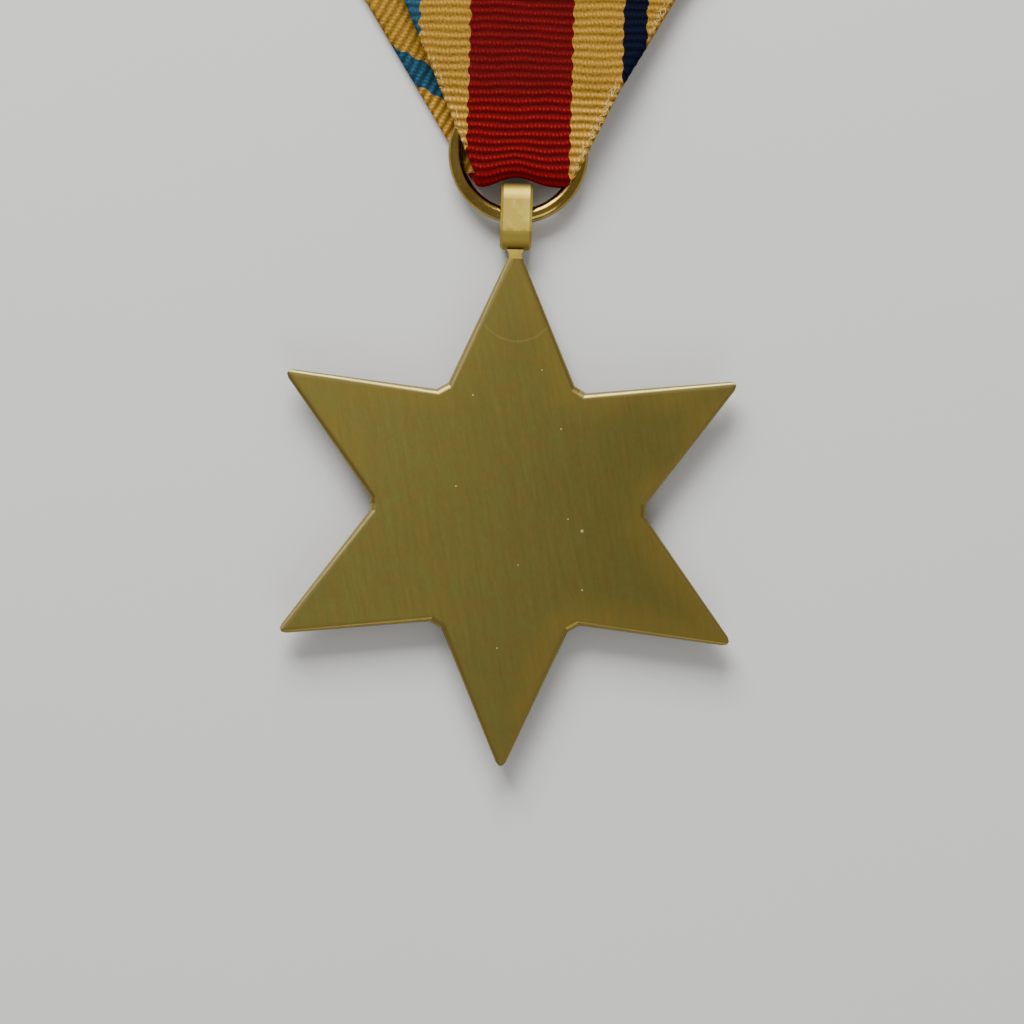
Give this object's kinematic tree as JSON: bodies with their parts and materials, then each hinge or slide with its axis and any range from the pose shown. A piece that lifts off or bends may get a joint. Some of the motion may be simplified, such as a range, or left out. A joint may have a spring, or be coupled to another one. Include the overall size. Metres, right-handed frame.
{
  "type": "military service medal",
  "caption": "Six-pointed brass campaign star that hangs by a flat loop and a round ring from a folded striped ribbon on a pinned brooch bar.",
  "frame": {"origin": "centre of the star, on the plane that the raised front of the star rests on", "axes": "+Z out of the star's plain back, +Y from the star along the ribbon to the brooch bar, +X to the right as seen from the back"},
  "size_m": [0.0382, 0.096, 0.0045],
  "materials": {
    "star_brass": "satin, finely brushed, slightly tarnished",
    "loop_brass": "matte pale brass",
    "ring_brass": "polished",
    "brooch_brass": "satin",
    "pin_steel": "drawn wire",
    "ribbon": "ribbed watered weave in stripes of buff, light blue, red and navy",
    "thread": "twisted cotton"
  },
  "bodies": {
    "brooch": {"brooch_bar": "brooch_brass", "ribbon_rod": "brooch_brass", "pin_hinge_block": "brooch_brass", "hinge_rivet": "brooch_brass", "pin_catch": "brooch_brass"},
    "pin": {"brooch_pin": "pin_steel"},
    "upper_ribbon": {"ribbon_front_upper": "ribbon", "ribbon_back_upper": "ribbon", "back_pleat_upper": "ribbon", "front_pleat_upper": "ribbon", "ribbon_rod_wrap": "ribbon", "ribbon_tail": "ribbon", "tail_stitches": "thread"},
    "lower_ribbon": {"ribbon_back_lower": "ribbon", "ribbon_front_lower": "ribbon", "back_pleat_left": "ribbon", "back_pleat_right": "ribbon", "front_pleat_left": "ribbon", "front_pleat_right": "ribbon", "ribbon_turn": "ribbon"},
    "ring": {"suspension_ring": "ring_brass"},
    "medal": {"star": "star_brass", "tip_collar": "star_brass", "suspension_loop": "loop_brass"}
  },
  "joints": [
    {"name": "pin_swing", "type": "hinge", "parent": "brooch", "child": "pin", "pos_m": [-0.013, 0.072, 0.0036], "axis": [0, -1, 0], "range_deg": [0, 100]},
    {"name": "brooch_tilt", "type": "hinge", "parent": "brooch", "child": "upper_ribbon", "pos_m": [0, 0.0669, 0.0012], "axis": [1, 0, 0], "range_deg": [-80, 80]},
    {"name": "ribbon_bend", "type": "hinge", "parent": "upper_ribbon", "child": "lower_ribbon", "pos_m": [0, 0.0462, 0.00099], "axis": [1, 0, 0], "range_deg": [-45, 45]},
    {"name": "ring_slide", "type": "slide", "parent": "lower_ribbon", "child": "ring", "axis": [0, -1, 0], "range_m": [0, 0.0039]},
    {"name": "star_swing", "type": "hinge", "parent": "ring", "child": "medal", "pos_m": [0, 0.0249, 0.00165], "axis": [1, 0, 0], "range_deg": [-100, 100]}
  ]
}
